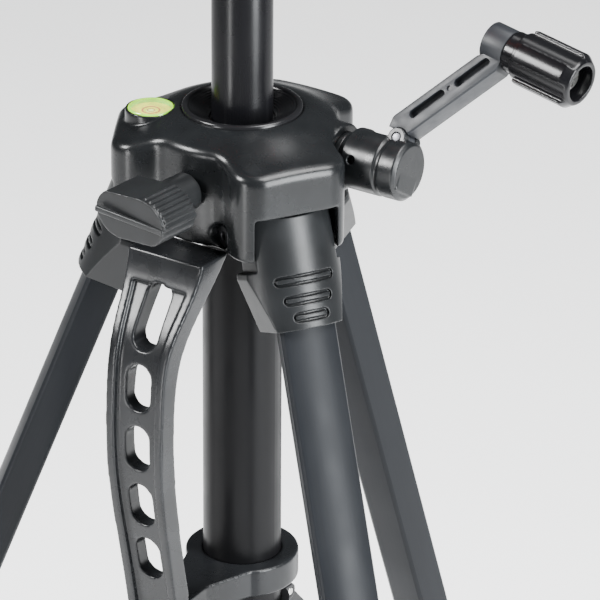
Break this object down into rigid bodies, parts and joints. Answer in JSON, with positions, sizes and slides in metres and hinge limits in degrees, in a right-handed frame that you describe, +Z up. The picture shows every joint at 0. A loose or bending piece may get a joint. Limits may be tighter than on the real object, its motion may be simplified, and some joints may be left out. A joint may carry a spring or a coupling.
{
  "type": "laser level on tripod",
  "caption": "Small laser level on a geared tripod: crank-raised column, wing-knob lock, round bubble level, bowed carry handle, folding two-section legs with a sliding brace.",
  "frame": {"origin": "on the floor, on the axis of the centre column", "axes": "+Z up along the column, -Y the front with the lock knob and carry handle, +X the side with the crank"},
  "size_m": [0.4054, 0.356, 0.6988],
  "materials": {
    "canopy_plastic": "satin black moulding",
    "ring_plastic": "glossy black ring",
    "bush_plastic": "dark bearing plastic",
    "cup_plastic": "yellow-green cup",
    "vial_fluid": "yellow-green fluid",
    "vial_bubble": "pale bubble",
    "vial_lens": "clear cover",
    "sleeve_metal": "dark anodised tube",
    "cap_plastic": "black moulding",
    "handle_plastic": "satin black moulding",
    "screw_steel": "zinc-plated screws",
    "pivot_steel": "zinc-plated screws",
    "hub_plastic": "black moulding",
    "pin_steel": "steel pins",
    "bearing_plastic": "dark bearing bush",
    "knob_plastic": "satin black wing knob",
    "stud_steel": "threaded steel",
    "shaft_steel": "turned steel",
    "crank_metal": "dark painted casting",
    "grub_steel": "blackened steel",
    "elbow_steel": "steel pin",
    "arm_metal": "dark grey casting",
    "spindle_steel": "steel spindle",
    "grip_plastic": "glossy black grip",
    "column_metal": "black anodised tube",
    "rack_plastic": "black rack",
    "plug_plastic": "black plug",
    "head_metal": "black plate",
    "pad_rubber": "rubber pad",
    "mount_steel": "quarter-inch stud",
    "laser_base_plastic": "black base",
    "laser_body_plastic": "red-orange housing",
    "laser_rubber": "rubber bumper",
    "laser_glass": "tinted window",
    "door_plastic": "black door",
    "switch_plastic": "light slider",
    "knuckle_plastic": "black textured moulding",
    "leg_metal": "grey anodised leg tube",
    "lock_plastic": "black clamp",
    "lever_plastic": "black lever",
    "lower_metal": "grey anodised inner tube",
    "foot_rubber": "rubber foot",
    "brace_plastic": "black brace arm",
    "shoe_plastic": "black sliding collar"
  },
  "bodies": {
    "canopy_body": {"canopy": "canopy_plastic", "collar_ring": "ring_plastic", "guide_bush": "bush_plastic", "level_cup": "cup_plastic", "level_fluid": "vial_fluid", "level_bubble": "vial_bubble", "level_lens": "vial_lens", "center_sleeve": "sleeve_metal", "sleeve_cap": "cap_plastic", "carry_handle": "handle_plastic", "handle_screws": "screw_steel", "leg_pivot_screws": "pivot_steel", "brace_hub": "hub_plastic", "brace_hub_pins": "pin_steel", "crank_bearing": "bearing_plastic"},
    "lock_knob_body": {"lock_knob": "knob_plastic", "lock_stud": "stud_steel"},
    "crank": {"pinion_shaft": "shaft_steel", "crank_hub": "crank_metal", "crank_grub_screw": "grub_steel", "crank_elbow_pin": "elbow_steel"},
    "crank_arm_body": {"crank_arm": "arm_metal", "grip_spindle": "spindle_steel"},
    "crank_grip_body": {"crank_grip": "grip_plastic"},
    "column": {"center_column": "column_metal", "column_rack": "rack_plastic", "column_plug": "plug_plastic", "head_plate": "head_metal", "head_pad": "pad_rubber", "mount_stud": "mount_steel"},
    "laser": {"laser_base": "laser_base_plastic", "laser_housing": "laser_body_plastic", "laser_bumper": "laser_rubber", "laser_window": "laser_glass", "battery_door": "door_plastic"},
    "switch": {"laser_switch": "switch_plastic"},
    "right_leg": {"right_knuckle": "knuckle_plastic", "right_upper_tube": "leg_metal", "right_lock_collar": "lock_plastic"},
    "right_lever": {"right_lock_lever": "lever_plastic"},
    "right_lower": {"right_lower_tube": "lower_metal", "right_foot": "foot_rubber"},
    "right_brace": {"right_brace_arm": "brace_plastic"},
    "right_shoe": {"right_brace_shoe": "shoe_plastic"},
    "left_leg": {"left_knuckle": "knuckle_plastic", "left_upper_tube": "leg_metal", "left_lock_collar": "lock_plastic"},
    "left_lever": {"left_lock_lever": "lever_plastic"},
    "left_lower": {"left_lower_tube": "lower_metal", "left_foot": "foot_rubber"},
    "left_brace": {"left_brace_arm": "brace_plastic"},
    "left_shoe": {"left_brace_shoe": "shoe_plastic"},
    "rear_leg": {"rear_knuckle": "knuckle_plastic", "rear_upper_tube": "leg_metal", "rear_lock_collar": "lock_plastic"},
    "rear_lever": {"rear_lock_lever": "lever_plastic"},
    "rear_lower": {"rear_lower_tube": "lower_metal", "rear_foot": "foot_rubber"},
    "rear_brace": {"rear_brace_arm": "brace_plastic"},
    "rear_shoe": {"rear_brace_shoe": "shoe_plastic"}
  },
  "joints": [
    {"name": "column_slide", "type": "slide", "parent": "canopy_body", "child": "column", "axis": [0, 0, 1], "range_m": [-0.09, 0.06]},
    {"name": "crank_turn", "type": "hinge", "parent": "canopy_body", "child": "crank", "pos_m": [0, 0.016, 0.48984], "axis": [1, 0, 0], "range_deg": [-765, 1147]},
    {"name": "crank_fold", "type": "hinge", "parent": "crank", "child": "crank_arm_body", "pos_m": [0.0634, 0.02215, 0.49967], "axis": [0, -0.848, 0.5299], "range_deg": [-28, 28]},
    {"name": "grip_spin", "type": "hinge", "parent": "crank_arm_body", "child": "crank_grip_body", "pos_m": [0.09889, 0.04633, 0.53837], "axis": [0.9848, -0.092, -0.1473], "continuous": true},
    {"name": "lock_turn", "type": "hinge", "parent": "canopy_body", "child": "lock_knob_body", "pos_m": [0, -0.056, 0.48484], "axis": [0, -1, 0], "range_deg": [0, 270]},
    {"name": "laser_turn", "type": "hinge", "parent": "column", "child": "laser", "pos_m": [0, 0, 0.61284], "axis": [0, 0, 1], "continuous": true},
    {"name": "switch_slide", "type": "slide", "parent": "laser", "child": "switch", "axis": [0, 1, 0], "range_m": [0, 0.011]},
    {"name": "right_fold", "type": "hinge", "parent": "canopy_body", "child": "right_leg", "pos_m": [0.02832, -0.01635, 0.46774], "axis": [0.5, 0.866, 0], "range_deg": [0, 21.3]},
    {"name": "right_extend", "type": "slide", "parent": "right_leg", "child": "right_lower", "axis": [0.3146, -0.1816, -0.9317], "range_m": [0, 0.15]},
    {"name": "right_lever_flip", "type": "hinge", "parent": "right_leg", "child": "right_lever", "pos_m": [0.17925, -0.10349, 0.08597], "axis": [-0.5, -0.866, 0], "range_deg": [0, 100]},
    {"name": "right_brace_swing", "type": "hinge", "parent": "canopy_body", "child": "right_brace", "pos_m": [0.02226, -0.01285, 0.27534], "axis": [0.5, 0.866, 0], "range_deg": [0, 42.6]},
    {"name": "right_shoe_turn", "type": "hinge", "parent": "right_brace", "child": "right_shoe", "pos_m": [0.13504, -0.07797, 0.13371], "axis": [0.5, 0.866, 0], "range_deg": [-21.3, 0]},
    {"name": "left_fold", "type": "hinge", "parent": "canopy_body", "child": "left_leg", "pos_m": [-0.02832, -0.01635, 0.46774], "axis": [0.5, -0.866, 0], "range_deg": [0, 21.3]},
    {"name": "left_extend", "type": "slide", "parent": "left_leg", "child": "left_lower", "axis": [-0.3146, -0.1816, -0.9317], "range_m": [0, 0.15]},
    {"name": "left_lever_flip", "type": "hinge", "parent": "left_leg", "child": "left_lever", "pos_m": [-0.17925, -0.10349, 0.08597], "axis": [-0.5, 0.866, 0], "range_deg": [0, 100]},
    {"name": "left_brace_swing", "type": "hinge", "parent": "canopy_body", "child": "left_brace", "pos_m": [-0.02226, -0.01285, 0.27534], "axis": [0.5, -0.866, 0], "range_deg": [0, 42.6]},
    {"name": "left_shoe_turn", "type": "hinge", "parent": "left_brace", "child": "left_shoe", "pos_m": [-0.13504, -0.07797, 0.13371], "axis": [0.5, -0.866, 0], "range_deg": [-21.3, 0]},
    {"name": "rear_fold", "type": "hinge", "parent": "canopy_body", "child": "rear_leg", "pos_m": [0, 0.0327, 0.46774], "axis": [-1, 0, 0], "range_deg": [0, 21.3]},
    {"name": "rear_extend", "type": "slide", "parent": "rear_leg", "child": "rear_lower", "axis": [0, 0.3633, -0.9317], "range_m": [0, 0.15]},
    {"name": "rear_lever_flip", "type": "hinge", "parent": "rear_leg", "child": "rear_lever", "pos_m": [0, 0.20698, 0.08597], "axis": [1, 0, 0], "range_deg": [0, 100]},
    {"name": "rear_brace_swing", "type": "hinge", "parent": "canopy_body", "child": "rear_brace", "pos_m": [0, 0.0257, 0.27534], "axis": [-1, 0, 0], "range_deg": [0, 42.6]},
    {"name": "rear_shoe_turn", "type": "hinge", "parent": "rear_brace", "child": "rear_shoe", "pos_m": [0, 0.15593, 0.13371], "axis": [-1, 0, 0], "range_deg": [-21.3, 0]}
  ],
  "couplings": [
    {"joint": "crank_turn", "follows": "column_slide", "rad_per_m": -222.22},
    {"joint": "right_brace_swing", "follows": "right_fold", "ratio": 2},
    {"joint": "right_shoe_turn", "follows": "right_fold", "ratio": -1},
    {"joint": "left_fold", "follows": "right_fold", "ratio": 1},
    {"joint": "left_brace_swing", "follows": "right_fold", "ratio": 2},
    {"joint": "left_shoe_turn", "follows": "right_fold", "ratio": -1},
    {"joint": "rear_fold", "follows": "right_fold", "ratio": 1},
    {"joint": "rear_brace_swing", "follows": "right_fold", "ratio": 2},
    {"joint": "rear_shoe_turn", "follows": "right_fold", "ratio": -1}
  ]
}
